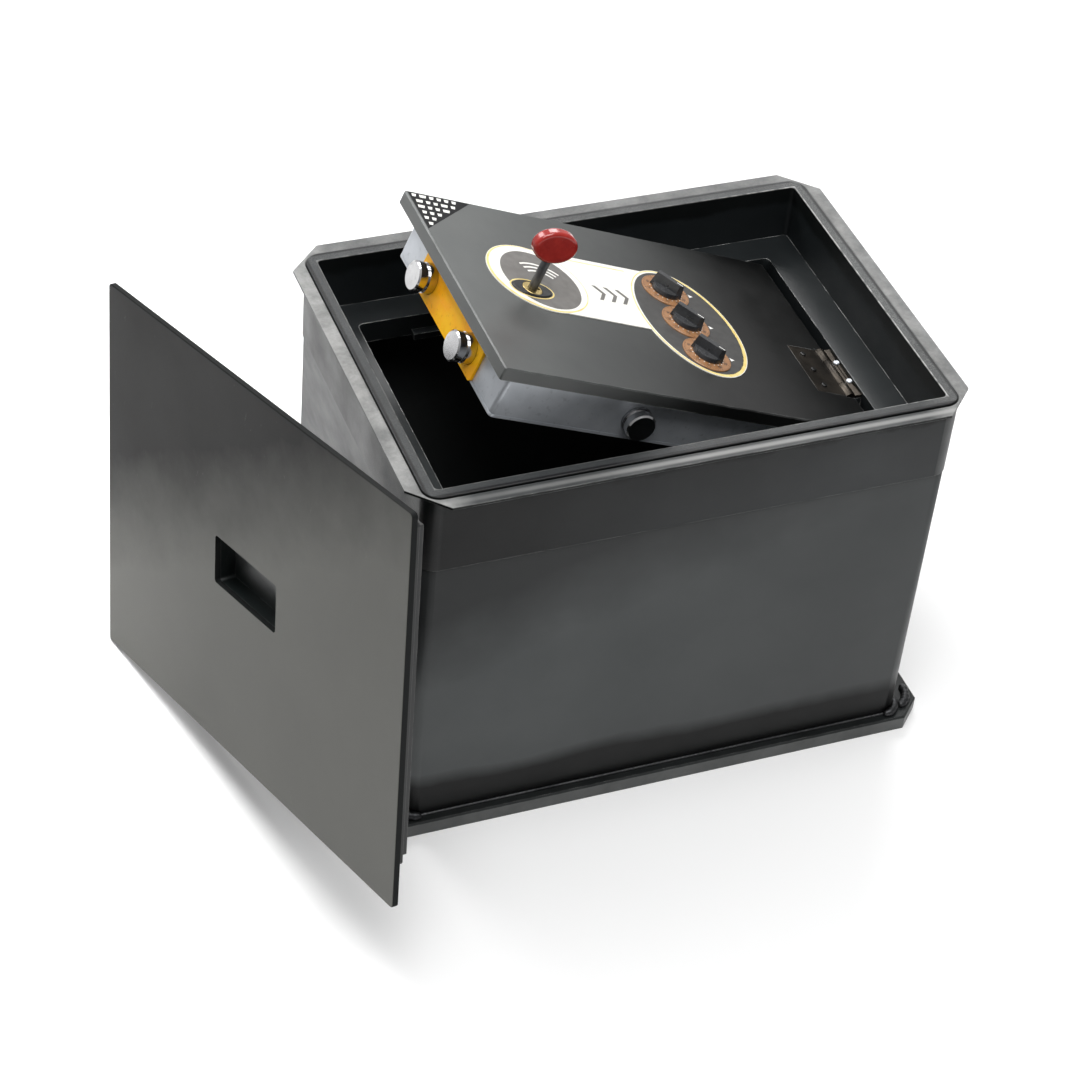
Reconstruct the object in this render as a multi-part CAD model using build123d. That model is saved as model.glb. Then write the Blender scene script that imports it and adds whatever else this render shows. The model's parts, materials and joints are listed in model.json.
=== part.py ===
"""Floor safe: a steel box with a flanged mouth, a hinged door and a loose cover.

Millimetres. Origin at the centre of the base, on the floor. +Z is up, +X runs along
the long side towards the door's hinge, and +Y points to the far long side. The door
is drawn closed and then swung open about its hinge. The cover is drawn lying flat and
then stood on one corner beside the box.
"""
from build123d import *
import os
from math import cos, radians, sin

# Box: mouth, neck and walls
HEIGHT = 288.0              # floor to the top of the rim
RIM_LENGTH = 360.0          # outside of the neck frame, X
RIM_WIDTH = 254.0           # outside of the neck frame, Y
RIM_WALL = 8.0
RIM_CORNER = 11.0
RIM_EDGE = 0.8              # rounding of the rim's top edges
NECK_DEPTH = 40.0           # rim top to the top of the door seat
COLLAR_SHEET = 1.0
FLANGE_SHEET = 2.0
COLLAR_DROP = 59.0          # rim top to the seam with the lower walls
FLANGE_OUT = 10.0           # flange beyond the neck frame
FLANGE_STEP = 1.0           # flange below the rim top
FLANGE_BEND = 1.7           # bend radius, seen as a groove beside the rim
FLANGE_NOTCH = 23.0         # leg of the corner cut
WALL = 4.0
WALL_INSET = 0.2            # lower walls inside the neck frame's outline
WALL_CORNER = 9.0
FOOT_SIDE_OUT = 7.0         # base plate beyond the neck frame's outline
FOOT_LEFT_OUT = 8.0
FOOT_RIGHT_OUT = 20.0
FOOT_THICK = 11.0
FOOT_CORNER = 6.0
FOOT_CUT = 16.0             # slanted corners at the hinge end
FOOT_BEVEL = 1.2
ANCHOR_RADIUS = 6.5
ANCHOR_SPAN_X = 260.0
ANCHOR_SPAN_Y = 160.0

# Door seat: a ring with a turned-down lip
SEAT_LEFT = 22.0            # seat's width at each side of the opening
SEAT_RIGHT = 24.0
SEAT_SIDE = 22.5
OPENING_CORNER = 4.0
SEAT_THICK = 4.0
LIP_THICK = 3.0
LIP_DEPTH = 16.0            # seat top to the lip's lower edge
STOP_LENGTH = 20.0
STOP_REACH = 6.0
STOP_INSET = 48.0           # stop's middle from the end of the opening
STOP_GAP = 0.3

# Door
DOOR_END_GAP = 6.0          # door's free end to the lip
DOOR_SIDE_GAP = 1.5
DOOR_THICK = 9.0
DOOR_CHAMFER = 0.7
DOOR_CORNER = 1.5
DOOR_SUNK = 2.0             # door top below the seat top
DOOR_OPEN = 22.0            # degrees, as it stands

# Hinge
BARREL_RADIUS = 3.5
PIN_RADIUS = 1.75
PIN_FIT = 0.05
HINGE_LENGTH = 50.0
HINGE_PLACE = -32.0         # middle of the hinge, Y
HINGE_BACK = 8.5            # barrel axis from the lip's face
BARREL_SUNK = 1.25          # barrel axis below the door top
KNUCKLE_GAP = 0.3
FIXED_KNUCKLE = 24.0
LEAF_THICK = 2.5
LEAF_REACH = 27.0           # moving leaf from the axis
LEAF_GAP = 0.4
LEAF_SCREW_INSET = 9.0      # screw row from the moving leaf's free edge
LEAF_SCREW_SPACING = 17.0
LEAF_SCREW_COUNT = 3
FIXED_SCREW_SPACING = 20.0
NOTCH_MARGIN = 1.5
BRACKET_DEPTH = 13.0
SCREW_RADIUS = 2.1
SCREW_HEAD = 1.0
SCREW_EDGE = 0.6
SCREW_LENGTH = 6.0

# Lock case under the door
CASE_LEFT = 12.0            # case's left end from the door's left edge
CASE_RIGHT = 25.0           # case's right end from the door's right edge
CASE_SIDE_GAP = 4.5         # case's side to the door stops
CASE_DEPTH = 33.0
CASE_SHEET = 2.0
CASE_CORNER = 3.0
COVER_SCREW_INSET = 9.0
COVER_SCREW_RADIUS = 3.0
POST_RADIUS = 4.0
GUIDE_LENGTH = 106.0
GUIDE_HEIGHT = 29.0
GUIDE_THICK = 2.0
GUIDE_CORNER = 2.0

# Bolts and the parts that throw them
BOLT_RADIUS = 10.0
BOLT_FIT = 0.1
BOLT_DROP = 27.0            # bolt axis below the door top
BOLT_SPACING = 74.0
BOLT_INSIDE = 21.0          # length of an end bolt inside the case
BOLT_GROOVE_DEPTH = 1.6
BOLT_GROOVE_WIDTH = 2.5
BOLT_GROOVE_PLACE = 5.5
BOLT_CHAMFER = 1.0
BOLT_CLEAR = 2.8            # drawn-back end bolt's tip to the lip's face
SIDE_BOLT_CLEAR = 1.2       # the same for the side bolts
SIDE_BOLT_INSET = 101.0     # side bolts from the case's left end
CARRIAGE_BAR = 8.0
CARRIAGE_SPAN = 96.0
SLIDE_THICK = 3.0
SLIDE_ARM = 20.0            # width of the plate beside a side bolt's tail
FORK_SIDE = 3.0             # metal beside a fork's slot
FORK_END = 3.5
SLIDE_CLEAR = 5.3           # from one side's fork to the other side's plate
ARM_SIDE = 4.0              # metal beyond the carriage's drive pin
ARM_END = 5.0
TAB_THICK = 3.0

# Key lock
KEY_INSET = 46.0            # lock's axis from the case's left end
KEY_Y = 1.0
HUB_RADIUS = 7.0
HUB_FIT = 0.06
HUB_CHAMFER = 0.4
BARREL_BLOCK_RADIUS = 12.0
DISC_RADIUS = 15.0
DISC_THICK = 3.0
DRIVE_RADIUS = 10.0         # drive pins from the lock's axis
DRIVE_PIN = 2.5
DRIVE_ANGLE = 45.0          # where the drive pins stand before the key turns
DRIVE_PIN_LENGTH = 3.6
DRIVE_CLEAR = 0.6
LAYER_GAP = 0.6
FOOT_PIVOT_RADIUS = 4.0
ESCUTCHEON_LENGTH = 29.0
ESCUTCHEON_WIDTH = 17.0
ESCUTCHEON_THICK = 1.4
ESCUTCHEON_EDGE = 0.8
SHANK_RADIUS = 3.0
SHANK_FIT = 0.1
SHANK_ABOVE = 25.0          # shank above the door top
SHANK_BELOW = 21.0          # shank below the door top
KEY_BIT_WIDTH = 2.4         # bit beyond the shank
KEY_BIT_THICK = 2.0
KEY_BIT_FIT = 0.2
KEY_BIT_STEPS = ((3.0, 1.0), (3.0, 0.6), (4.0, 1.0))    # height and share of the width
BOW_LENGTH = 31.0
BOW_HEIGHT = 23.0
BOW_THICK = 8.0
BOW_EDGE = 2.4
BOW_CENTRE = 34.0           # middle of the red head above the door top
BOW_SOCKET = 5.0            # shank inside the head

# Combination knobs
DIAL_X = 30.0
DIAL_MIDDLE_Y = -5.0
DIAL_SPACING = 35.0
DIAL_COUNT = 3
RING_RADIUS = 17.2
RING_THICK = 1.0
RING_CHAMFER = 0.3
KNOB_RADIUS = 10.5
KNOB_BASE = 3.0
KNOB_TAPER = 12.0
GRIP_LENGTH = 23.0
GRIP_WIDTH = 7.0
GRIP_HEIGHT = 9.0
GRIP_TAPER = 8.0
GRIP_TURN = -48.0           # where the pointers stand, degrees
SPINDLE_RADIUS = 3.0
SPINDLE_FIT = 0.08
SPINDLE_SOCKET = 5.4        # spindle inside the knob
WHEEL_RADIUS = 15.0
WHEEL_THICK = 4.0
WHEEL_GATE = 4.0
WHEEL_HUB = 3.0
WHEEL_DROP = 14.0           # wheel's top below the door's underside
BUSH_RADIUS = 6.0
BUSH_LENGTH = 6.0
DISH_GAP = 0.2

# Face label
LABEL_THICK = 0.6
LABEL_OVAL = (38.0, 58.0)   # half axes of the oval round the dials
LABEL_OVAL_PLACE = (33.0, -4.0)
LABEL_DISC_RADIUS = 36.0
LABEL_DISC_OFFSET = (10.0, 14.0)    # disc's middle from the lock's axis
LABEL_BAND = (-20.0, 50.0)  # lower and upper edge of the band
LABEL_CLEAR = 0.5

# Loose cover
COVER_OVER_ENDS = 7.5       # cover beyond the neck frame
COVER_OVER_SIDES = 7.75
COVER_THICK = 4.0
COVER_CORNER = 3.0
COVER_EDGE = 0.8
STRIP_CLEAR = 1.0           # strip on the cover's back inside the neck
STRIP_DEPTH = 13.0
STRIP_THICK = 4.0
FRAME_DEPTH = 18.0
FRAME_WALL = 3.0
FRAME_FOOT = 8.0
FRAME_CORNER = 1.0
CUP_LENGTH = 78.0
CUP_WIDTH = 34.0
CUP_CORNER = 2.5
CUP_DEPTH = 12.5            # behind the cover plate
CUP_SHEET = 1.5
COVER_TURN = -77.9          # heading of the cover's long edge, degrees
COVER_LEAN = 7.2
COVER_TILT = 12.0           # the cover stands on one corner
COVER_PLACE = (-320.7, 103.0)   # the corner that it stands on

# Levels worked out from the sizes above
SEAT_TOP = HEIGHT - NECK_DEPTH
LIP_BOTTOM = SEAT_TOP - LIP_DEPTH
COLLAR_BOTTOM = HEIGHT - COLLAR_DROP
DOOR_TOP = SEAT_TOP - DOOR_SUNK
DOOR_BOTTOM = DOOR_TOP - DOOR_THICK
CASE_BOTTOM = DOOR_BOTTOM - CASE_DEPTH
BOLT_LEVEL = DOOR_TOP - BOLT_DROP
NECK_LENGTH = RIM_LENGTH - 2 * RIM_WALL
NECK_WIDTH = RIM_WIDTH - 2 * RIM_WALL
LIP_RIGHT = NECK_LENGTH / 2 - SEAT_RIGHT
LIP_LEFT = SEAT_LEFT - NECK_LENGTH / 2
OPENING_LENGTH = LIP_RIGHT - LIP_LEFT
OPENING_WIDTH = NECK_WIDTH - 2 * SEAT_SIDE
OPENING_MIDDLE = (LIP_LEFT + LIP_RIGHT) / 2
HINGE_X = LIP_RIGHT - HINGE_BACK
HINGE_Z = DOOR_TOP - BARREL_SUNK
DOOR_RIGHT = HINGE_X + BARREL_RADIUS
DOOR_LEFT = LIP_LEFT + DOOR_END_GAP
DOOR_WIDTH = OPENING_WIDTH - 2 * DOOR_SIDE_GAP
CASE_END = DOOR_LEFT + CASE_LEFT
CASE_LENGTH = DOOR_RIGHT - CASE_RIGHT - CASE_END
CASE_WIDTH = OPENING_WIDTH - 2 * (STOP_REACH + CASE_SIDE_GAP)
CASE_MIDDLE = CASE_END + CASE_LENGTH / 2
END_BOLT_TAIL = CASE_END + BOLT_INSIDE
SIDE_BOLT_X = CASE_END + SIDE_BOLT_INSET
KEY_X = CASE_END + KEY_INSET
LABEL_DISC_PLACE = (KEY_X + LABEL_DISC_OFFSET[0], KEY_Y + LABEL_DISC_OFFSET[1])
COVER_LENGTH = RIM_LENGTH + 2 * COVER_OVER_ENDS
COVER_WIDTH = RIM_WIDTH + 2 * COVER_OVER_SIDES
STRIP_LENGTH = NECK_LENGTH - 2 * STRIP_CLEAR
STRIP_WIDTH = NECK_WIDTH - 2 * STRIP_CLEAR
DISC_TOP = BOLT_LEVEL + DISC_THICK / 2
DISC_BOTTOM = DISC_TOP - DISC_THICK
UPPER_SLIDE = DISC_TOP + LAYER_GAP
LOWER_SLIDE = DISC_BOTTOM - LAYER_GAP - SLIDE_THICK
PIN_OFFSET = DRIVE_RADIUS * cos(radians(DRIVE_ANGLE))
FORK_REACH = PIN_OFFSET + DRIVE_PIN + DRIVE_CLEAR + FORK_END
SIDE_BOLT_TAIL = KEY_Y + FORK_REACH + SLIDE_CLEAR + SLIDE_ARM


def row(count, spacing):
    """Offsets of evenly spaced places about a middle."""
    return [(index - (count - 1) / 2) * spacing for index in range(count)]


DIAL_PLACES = [(DIAL_X, DIAL_MIDDLE_Y + offset) for offset in row(DIAL_COUNT, DIAL_SPACING)]


def slab(x0, x1, y0, y1, z0, z1):
    """A box between two corners."""
    middle = ((x0 + x1) / 2, (y0 + y1) / 2, (z0 + z1) / 2)
    return Pos(*middle) * Box(x1 - x0, y1 - y0, z1 - z0)


def rounded_block(length, width, corner, z0, z1, place=(0, 0)):
    """An upright block with rounded vertical edges."""
    outline = Pos(place[0], place[1], z0) * RectangleRounded(length, width, corner)
    return extrude(outline, z1 - z0)


def post(x, y, radius, z0, z1):
    """An upright round bar."""
    return Pos(x, y, z0) * extrude(Circle(radius), z1 - z0)


def barrel(radius, y0, y1):
    """A round bar on the hinge axis."""
    return Pos(HINGE_X, y0, HINGE_Z) * Rot(-90, 0, 0) * extrude(Circle(radius), y1 - y0)


def swung(shape):
    """A door piece, turned from closed to where the door stands."""
    axis = Axis((HINGE_X, 0, HINGE_Z), (0, 1, 0))
    return shape.rotate(axis, DOOR_OPEN)


def base_plate():
    left = -RIM_LENGTH / 2 - FOOT_LEFT_OUT
    right = RIM_LENGTH / 2 + FOOT_RIGHT_OUT
    half = RIM_WIDTH / 2 + FOOT_SIDE_OUT
    plate = slab(left, right, -half, half, 0, FOOT_THICK)
    plate = chamfer(plate.edges().filter_by(Axis.Z).group_by(Axis.X)[-1], FOOT_CUT)
    plate = fillet(plate.edges().filter_by(Axis.Z).group_by(Axis.X)[0], FOOT_CORNER)
    plate = chamfer(plate.edges().group_by(Axis.Z)[-1], FOOT_BEVEL)
    for x in (-ANCHOR_SPAN_X / 2, ANCHOR_SPAN_X / 2):
        for y in (-ANCHOR_SPAN_Y / 2, ANCHOR_SPAN_Y / 2):
            plate -= post(x, y, ANCHOR_RADIUS, 0, FOOT_THICK)
    return plate


def body_walls():
    length = RIM_LENGTH - 2 * WALL_INSET
    width = RIM_WIDTH - 2 * WALL_INSET
    outer = rounded_block(length, width, WALL_CORNER, FOOT_THICK, COLLAR_BOTTOM)
    inner = rounded_block(
        length - 2 * WALL, width - 2 * WALL, WALL_CORNER - WALL, FOOT_THICK, COLLAR_BOTTOM
    )
    return outer - inner


def collar():
    """Sheet round the neck, folded outward into four strips with cut corners."""
    top = HEIGHT - FLANGE_STEP
    grow = 2 * COLLAR_SHEET
    corner = RIM_CORNER + COLLAR_SHEET
    sleeve = rounded_block(RIM_LENGTH + grow, RIM_WIDTH + grow, corner, COLLAR_BOTTOM, top)
    flange = slab(
        -RIM_LENGTH / 2 - FLANGE_OUT, RIM_LENGTH / 2 + FLANGE_OUT,
        -RIM_WIDTH / 2 - FLANGE_OUT, RIM_WIDTH / 2 + FLANGE_OUT,
        top - FLANGE_SHEET, top,
    )
    flange = chamfer(flange.edges().filter_by(Axis.Z), FLANGE_NOTCH)
    bore = rounded_block(RIM_LENGTH, RIM_WIDTH, RIM_CORNER, COLLAR_BOTTOM, top)
    sheet = sleeve + flange - bore
    mouth = sheet.faces().sort_by(Axis.Z)[-1].inner_wires()[0].edges()
    return fillet(mouth, FLANGE_BEND)


def neck_frame():
    outer = rounded_block(RIM_LENGTH, RIM_WIDTH, RIM_CORNER, COLLAR_BOTTOM, HEIGHT)
    inner = rounded_block(
        NECK_LENGTH, NECK_WIDTH, RIM_CORNER - RIM_WALL, COLLAR_BOTTOM, HEIGHT
    )
    ring = outer - inner
    return fillet(ring.edges().group_by(Axis.Z)[-1], RIM_EDGE)


def door_seat():
    """Ring that the door lies in, with a lip that the bolts catch under."""
    place = (OPENING_MIDDLE, 0)
    outline = rounded_block(
        NECK_LENGTH, NECK_WIDTH, RIM_CORNER - RIM_WALL, SEAT_TOP - SEAT_THICK, SEAT_TOP
    )
    lip = rounded_block(
        OPENING_LENGTH + 2 * LIP_THICK, OPENING_WIDTH + 2 * LIP_THICK,
        OPENING_CORNER + LIP_THICK, LIP_BOTTOM, SEAT_TOP, place,
    )
    opening = rounded_block(
        OPENING_LENGTH, OPENING_WIDTH, OPENING_CORNER, LIP_BOTTOM, SEAT_TOP, place
    )
    return outline + lip - opening


def door_stops():
    """Four tabs on the lip that the closed door comes down on."""
    top = DOOR_BOTTOM - STOP_GAP
    tabs = Part()
    for x in (LIP_LEFT + STOP_INSET, LIP_RIGHT - STOP_INSET):
        for side in (-1, 1):
            face = side * OPENING_WIDTH / 2
            edge = side * (OPENING_WIDTH / 2 - STOP_REACH)
            tabs += slab(
                x - STOP_LENGTH / 2, x + STOP_LENGTH / 2,
                min(face, edge), max(face, edge), LIP_BOTTOM, top,
            )
    return tabs


def hinge_span():
    """Lower and upper end of the hinge along Y."""
    return HINGE_PLACE - HINGE_LENGTH / 2, HINGE_PLACE + HINGE_LENGTH / 2


def hinge_bracket():
    low, high = hinge_span()
    top = HINGE_Z - LEAF_THICK / 2
    left = HINGE_X + BARREL_RADIUS + LEAF_GAP
    bracket = slab(left, LIP_RIGHT, low, high, top - BRACKET_DEPTH, top)
    for x, y in fixed_screw_places():
        bracket -= post(x, y, SCREW_RADIUS / 2, top + LEAF_THICK - SCREW_LENGTH, top)
    return bracket


def fixed_screw_places():
    x = (HINGE_X + BARREL_RADIUS + LEAF_GAP + LIP_RIGHT) / 2
    return [(x, HINGE_PLACE + side * FIXED_SCREW_SPACING / 2) for side in (-1, 1)]


def hinge_fixed_leaf():
    low, high = hinge_span()
    z0 = HINGE_Z - LEAF_THICK / 2
    z1 = HINGE_Z + LEAF_THICK / 2
    left = HINGE_X + BARREL_RADIUS + LEAF_GAP
    k0 = HINGE_PLACE - FIXED_KNUCKLE / 2
    k1 = HINGE_PLACE + FIXED_KNUCKLE / 2
    leaf = slab(left, LIP_RIGHT, low, high, z0, z1)
    leaf += slab(HINGE_X, LIP_RIGHT, k0, k1, z0, z1)
    leaf += barrel(BARREL_RADIUS, k0, k1)
    leaf -= barrel(PIN_RADIUS, k0, k1)
    for x, y in fixed_screw_places():
        leaf -= post(x, y, SCREW_RADIUS / 2, z0, z1)
    return leaf


def hinge_pin():
    low, high = hinge_span()
    return barrel(PIN_RADIUS, low, high)


def screw(x, y, z):
    """A pan-head screw with its head's underside at z and its shank below it."""
    head = post(x, y, SCREW_RADIUS, z, z + SCREW_HEAD)
    head = fillet(head.edges().group_by(Axis.Z)[-1], SCREW_EDGE)
    return head + post(x, y, SCREW_RADIUS / 2, z - SCREW_LENGTH, z)


def hinge_fixed_screws():
    z = HINGE_Z + LEAF_THICK / 2
    screws = Part()
    for x, y in fixed_screw_places():
        screws += screw(x, y, z)
    return screws


def leaf_screw_places():
    x = HINGE_X - LEAF_REACH + LEAF_SCREW_INSET
    return [(x, HINGE_PLACE + offset) for offset in row(LEAF_SCREW_COUNT, LEAF_SCREW_SPACING)]


def hinge_moving_leaf():
    low, high = hinge_span()
    z0 = HINGE_Z - LEAF_THICK / 2
    z1 = HINGE_Z + LEAF_THICK / 2
    gap = FIXED_KNUCKLE / 2 + KNUCKLE_GAP
    leaf = slab(HINGE_X - LEAF_REACH, HINGE_X, low, high, z0, z1)
    leaf -= slab(
        HINGE_X - BARREL_RADIUS - LEAF_GAP, HINGE_X,
        HINGE_PLACE - gap, HINGE_PLACE + gap, z0, z1,
    )
    for y0, y1 in ((low, HINGE_PLACE - gap), (HINGE_PLACE + gap, high)):
        leaf += barrel(BARREL_RADIUS, y0, y1)
        leaf -= barrel(PIN_RADIUS + PIN_FIT, y0, y1)
    for x, y in leaf_screw_places():
        leaf -= post(x, y, SCREW_RADIUS / 2, z0, z1)
    return leaf


def hinge_door_screws():
    z = HINGE_Z + LEAF_THICK / 2
    screws = Part()
    for x, y in leaf_screw_places():
        screws += screw(x, y, z)
    return screws


def door_plate():
    low, high = hinge_span()
    blank = slab(
        DOOR_LEFT, DOOR_RIGHT, -DOOR_WIDTH / 2, DOOR_WIDTH / 2, DOOR_BOTTOM, DOOR_TOP
    )
    blank = fillet(blank.edges().filter_by(Axis.Z), DOOR_CORNER)
    plate = chamfer(blank.edges().group_by(Axis.Z)[-1], DOOR_CHAMFER)
    plate -= slab(
        HINGE_X - BARREL_RADIUS - LEAF_GAP, DOOR_RIGHT,
        low - NOTCH_MARGIN, high + NOTCH_MARGIN, DOOR_BOTTOM, DOOR_TOP,
    )
    plate -= slab(
        HINGE_X - LEAF_REACH, DOOR_RIGHT,
        low, high, HINGE_Z - LEAF_THICK / 2, DOOR_TOP,
    )
    plate -= post(KEY_X, KEY_Y, HUB_RADIUS + HUB_FIT, DOOR_BOTTOM, DOOR_TOP)
    for x, y in DIAL_PLACES:
        plate -= post(x, y, SPINDLE_RADIUS + SPINDLE_FIT, DOOR_BOTTOM, DOOR_TOP)
    for x, y in leaf_screw_places():
        plate -= post(x, y, SCREW_RADIUS / 2, HINGE_Z - SCREW_LENGTH, DOOR_TOP)
    return plate


def label_outline():
    """Oval round the dials, disc round the keyhole and a band between them."""
    oval = Pos(*LABEL_OVAL_PLACE) * Ellipse(*LABEL_OVAL)
    disc = Pos(*LABEL_DISC_PLACE) * Circle(LABEL_DISC_RADIUS)
    left, right = LABEL_DISC_PLACE[0], LABEL_OVAL_PLACE[0]
    middle = ((left + right) / 2, sum(LABEL_BAND) / 2)
    band = Pos(*middle) * Rectangle(right - left, LABEL_BAND[1] - LABEL_BAND[0])
    return oval + disc + band


def face_label():
    label = Pos(0, 0, DOOR_TOP) * extrude(label_outline(), LABEL_THICK)
    opening = Pos(KEY_X, KEY_Y, DOOR_TOP) * Ellipse(
        ESCUTCHEON_LENGTH / 2 + LABEL_CLEAR, ESCUTCHEON_WIDTH / 2 + LABEL_CLEAR
    )
    label -= extrude(opening, LABEL_THICK)
    for x, y in DIAL_PLACES:
        label -= post(x, y, SPINDLE_RADIUS + LABEL_CLEAR, DOOR_TOP, DOOR_TOP + LABEL_THICK)
    return label


def keyhole_escutcheon():
    outline = Ellipse(ESCUTCHEON_LENGTH / 2, ESCUTCHEON_WIDTH / 2)
    plate = Pos(KEY_X, KEY_Y, DOOR_TOP) * extrude(outline, ESCUTCHEON_THICK)
    plate = fillet(plate.edges().group_by(Axis.Z)[-1], ESCUTCHEON_EDGE)
    return plate - post(KEY_X, KEY_Y, HUB_RADIUS + HUB_FIT, DOOR_TOP, DOOR_TOP + ESCUTCHEON_THICK)


def lock_barrel():
    """Sleeve under the door that the key plug turns in."""
    bottom = UPPER_SLIDE + SLIDE_THICK + LAYER_GAP
    sleeve = post(KEY_X, KEY_Y, BARREL_BLOCK_RADIUS, bottom, DOOR_BOTTOM)
    return sleeve - post(KEY_X, KEY_Y, HUB_RADIUS + HUB_FIT, bottom, DOOR_BOTTOM)


def drive_pin_place(angle):
    return (
        KEY_X + DRIVE_RADIUS * cos(radians(angle)),
        KEY_Y + DRIVE_RADIUS * sin(radians(angle)),
    )


def key_plug():
    """Hub with a keyway, a drive disc under it and three drive pins."""
    top = DOOR_TOP + ESCUTCHEON_THICK
    plug = post(KEY_X, KEY_Y, HUB_RADIUS, DISC_TOP, top)
    plug = chamfer(plug.edges().group_by(Axis.Z)[-1], HUB_CHAMFER)
    plug += post(KEY_X, KEY_Y, DISC_RADIUS, DISC_BOTTOM, DISC_TOP)
    plug += post(KEY_X, KEY_Y, FOOT_PIVOT_RADIUS, CASE_BOTTOM + CASE_SHEET, DISC_BOTTOM)
    for angle in (-DRIVE_ANGLE, 180 - DRIVE_ANGLE):
        x, y = drive_pin_place(angle)
        plug += post(x, y, DRIVE_PIN, DISC_TOP, DISC_TOP + DRIVE_PIN_LENGTH)
    x, y = drive_pin_place(DRIVE_ANGLE)
    plug += post(x, y, DRIVE_PIN, DISC_BOTTOM - DRIVE_PIN_LENGTH, DISC_BOTTOM)
    hole_bottom = DOOR_TOP - SHANK_BELOW - SHANK_FIT
    plug -= post(KEY_X, KEY_Y, SHANK_RADIUS + SHANK_FIT, hole_bottom, top)
    reach = SHANK_RADIUS + KEY_BIT_WIDTH + KEY_BIT_FIT
    half = KEY_BIT_THICK / 2 + KEY_BIT_FIT
    plug -= slab(KEY_X, KEY_X + reach, KEY_Y - half, KEY_Y + half, hole_bottom, top)
    return plug


def key_shank():
    """Steel shank with a stepped bit."""
    low = DOOR_TOP - SHANK_BELOW
    shank = post(KEY_X, KEY_Y, SHANK_RADIUS, low, DOOR_TOP + SHANK_ABOVE + BOW_SOCKET)
    for height, share in KEY_BIT_STEPS:
        reach = SHANK_RADIUS + KEY_BIT_WIDTH * share
        shank += slab(
            KEY_X, KEY_X + reach,
            KEY_Y - KEY_BIT_THICK / 2, KEY_Y + KEY_BIT_THICK / 2, low, low + height,
        )
        low += height
    return shank


def key_head():
    """Oval head with rounded edges and a socket for the shank."""
    centre = DOOR_TOP + BOW_CENTRE
    outline = Plane.XZ.offset(-KEY_Y - BOW_THICK / 2) * Pos(KEY_X, centre) * Ellipse(
        BOW_LENGTH / 2, BOW_HEIGHT / 2
    )
    head = extrude(outline, BOW_THICK)
    head = fillet(head.edges(), BOW_EDGE)
    socket_top = DOOR_TOP + SHANK_ABOVE + BOW_SOCKET
    return head - post(KEY_X, KEY_Y, SHANK_RADIUS, DOOR_TOP, socket_top)


def lock_case():
    """Four walls of the case, with round holes that guide the bolts."""
    outer = rounded_block(
        CASE_LENGTH, CASE_WIDTH, CASE_CORNER, CASE_BOTTOM + CASE_SHEET, DOOR_BOTTOM,
        (CASE_MIDDLE, 0),
    )
    inner = rounded_block(
        CASE_LENGTH - 2 * CASE_SHEET, CASE_WIDTH - 2 * CASE_SHEET,
        CASE_CORNER - CASE_SHEET, CASE_BOTTOM + CASE_SHEET, DOOR_BOTTOM, (CASE_MIDDLE, 0),
    )
    case = outer - inner
    for y in (-BOLT_SPACING / 2, BOLT_SPACING / 2):
        case -= end_bar(y, BOLT_RADIUS + BOLT_FIT, CASE_END, CASE_END + CASE_SHEET)
    for side in (-1, 1):
        case -= side_bar(side, BOLT_RADIUS + BOLT_FIT, 0, CASE_WIDTH / 2)
    return case


def end_bar(y, radius, x0, x1):
    """A round bar along X at the bolts' level."""
    return Pos(x0, y, BOLT_LEVEL) * Rot(0, 90, 0) * extrude(Circle(radius), x1 - x0)


def side_bar(side, radius, y0, y1):
    """A round bar along Y at the bolts' level, on the near or the far side."""
    start = Pos(SIDE_BOLT_X, side * y0, BOLT_LEVEL)
    return start * Rot(-90 * side, 0, 0) * extrude(Circle(radius), y1 - y0)


def guide_plate():
    """Zinc-plated plate over the end of the case, bored for the end bolts."""
    plate = slab(
        CASE_END - GUIDE_THICK, CASE_END, -GUIDE_LENGTH / 2, GUIDE_LENGTH / 2,
        BOLT_LEVEL - GUIDE_HEIGHT / 2, BOLT_LEVEL + GUIDE_HEIGHT / 2,
    )
    plate = chamfer(plate.edges().filter_by(Axis.X), GUIDE_CORNER)
    for y in (-BOLT_SPACING / 2, BOLT_SPACING / 2):
        plate -= end_bar(y, BOLT_RADIUS + BOLT_FIT, CASE_END - GUIDE_THICK, CASE_END)
    return plate


def back_cover():
    cover = rounded_block(
        CASE_LENGTH, CASE_WIDTH, CASE_CORNER, CASE_BOTTOM, CASE_BOTTOM + CASE_SHEET,
        (CASE_MIDDLE, 0),
    )
    for x, y in back_screw_places():
        cover -= post(x, y, COVER_SCREW_RADIUS / 2, CASE_BOTTOM, CASE_BOTTOM + CASE_SHEET)
    return cover


def back_screw_places():
    dx = CASE_LENGTH / 2 - COVER_SCREW_INSET
    dy = CASE_WIDTH / 2 - COVER_SCREW_INSET
    return [(CASE_MIDDLE + sx * dx, sy * dy) for sx in (-1, 1) for sy in (-1, 1)]


def back_cover_posts():
    """Four tapped posts that carry the back cover."""
    posts = Part()
    for x, y in back_screw_places():
        bar = post(x, y, POST_RADIUS, CASE_BOTTOM + CASE_SHEET, DOOR_BOTTOM)
        bar -= post(
            x, y, COVER_SCREW_RADIUS / 2, CASE_BOTTOM + CASE_SHEET,
            CASE_BOTTOM + CASE_SHEET + SCREW_LENGTH,
        )
        posts += bar
    return posts


def back_cover_screws():
    screws = Part()
    for x, y in back_screw_places():
        head = post(x, y, COVER_SCREW_RADIUS, CASE_BOTTOM - SCREW_HEAD, CASE_BOTTOM)
        shank = post(
            x, y, COVER_SCREW_RADIUS / 2, CASE_BOTTOM,
            CASE_BOTTOM + CASE_SHEET + SCREW_LENGTH,
        )
        screws += head + shank
    return screws


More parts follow.
